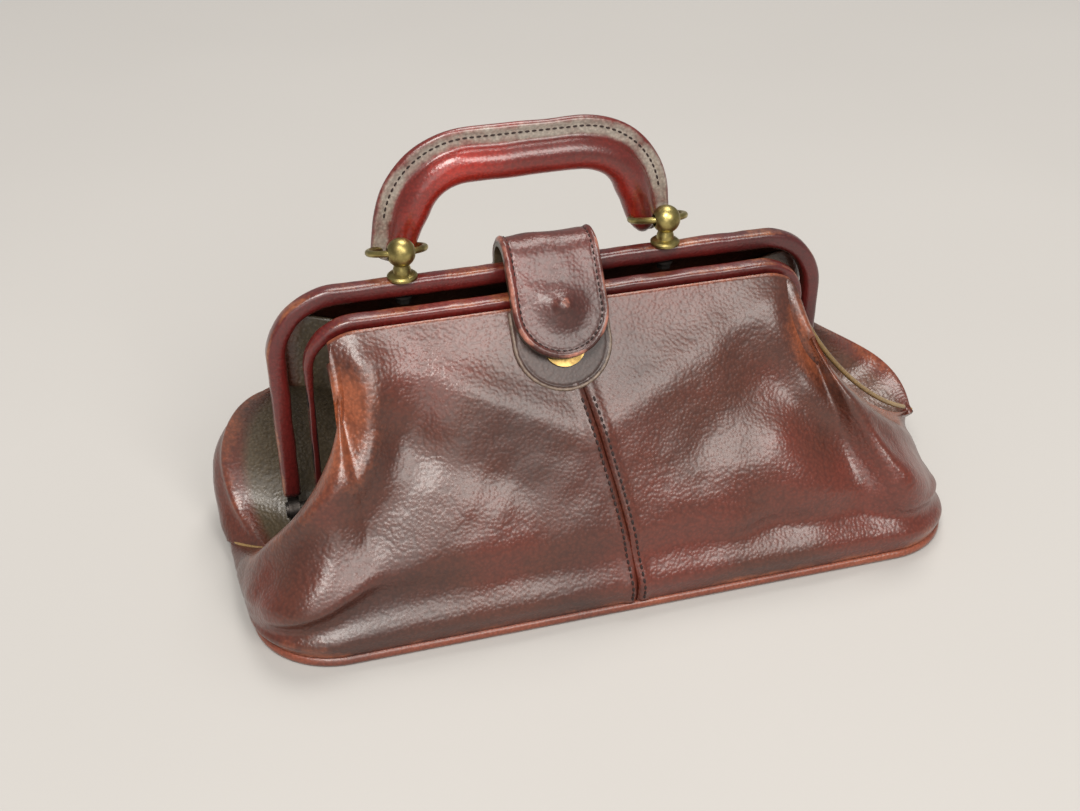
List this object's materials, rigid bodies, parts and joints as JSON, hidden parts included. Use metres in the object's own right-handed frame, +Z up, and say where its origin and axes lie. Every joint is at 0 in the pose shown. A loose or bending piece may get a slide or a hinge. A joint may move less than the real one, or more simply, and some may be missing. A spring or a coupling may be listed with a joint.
{
  "type": "gladstone bag",
  "caption": "Small frame-top leather bag with fold-in ends, hinged frames that open forward, a closing strap over the top and a rolled handle on brass rings and ball posts.",
  "frame": {"origin": "middle of the base, on the surface the bag stands on", "axes": "+X along the bag, -Y towards the strap's side, +Z up"},
  "size_m": [0.3286, 0.1524, 0.1837],
  "materials": {
    "body_leather": "pebbled oxblood leather with a waxed gloss, worn at the folds",
    "dark_leather": "darker oxblood leather",
    "base_leather": "smooth oxblood leather",
    "rim_leather": "rolled glossy oxblood leather",
    "handle_leather": "polished oxblood leather",
    "strap_leather": "oxblood leather with a stitched edge",
    "aged_brass": "dull antique brass",
    "frame_steel": "plain steel",
    "fibreboard": "plain fibreboard",
    "handle_wood": "plain core"
  },
  "bodies": {
    "bag_body": {"bottom_panel": "base_leather", "bottom_board": "fibreboard", "bottom_welt": "dark_leather", "front_left_panel": "body_leather", "front_right_panel": "body_leather", "back_panel": "body_leather", "left_gusset": "dark_leather", "right_gusset": "dark_leather", "rear_frame_bar": "frame_steel", "rear_frame_cover": "rim_leather", "left_hinge_pin": "frame_steel", "right_hinge_pin": "frame_steel", "left_ball_post": "aged_brass", "right_ball_post": "aged_brass", "post_nuts": "frame_steel", "post_washers": "frame_steel"},
    "front_frame": {"front_frame_bar": "frame_steel", "front_frame_cover": "rim_leather", "stud_patch": "dark_leather", "snap_base": "aged_brass"},
    "strap": {"strap_top": "strap_leather", "strap_lining": "dark_leather", "snap_socket": "aged_brass"},
    "handle_rings": {"left_handle_ring": "aged_brass", "right_handle_ring": "aged_brass"},
    "handle": {"handle_cover": "handle_leather", "handle_core": "handle_wood"}
  },
  "joints": [
    {"name": "frame_open", "type": "hinge", "parent": "bag_body", "child": "front_frame", "pos_m": [-0.014, 0, 0.026], "axis": [1, 0, 0], "range_deg": [0, 42], "deforming": ["front_left_panel", "front_right_panel", "left_gusset", "right_gusset"]},
    {"name": "strap_lift", "type": "hinge", "parent": "bag_body", "child": "strap", "pos_m": [-0.019, 0.0082, 0.1282], "axis": [-1, 0, 0], "range_deg": [0, 97]},
    {"name": "ring_swing", "type": "hinge", "parent": "bag_body", "child": "handle_rings", "pos_m": [-0.022, 0.002, 0.142], "axis": [1, 0, 0], "range_deg": [0, 70]},
    {"name": "handle_swing", "type": "hinge", "parent": "handle_rings", "child": "handle", "pos_m": [-0.022, 0.02191, 0.13475], "axis": [1, 0, 0], "range_deg": [-100, 10]}
  ],
  "couplings": [
    {"joint": "strap_lift", "follows": "frame_open", "ratio": 2.3}
  ]
}
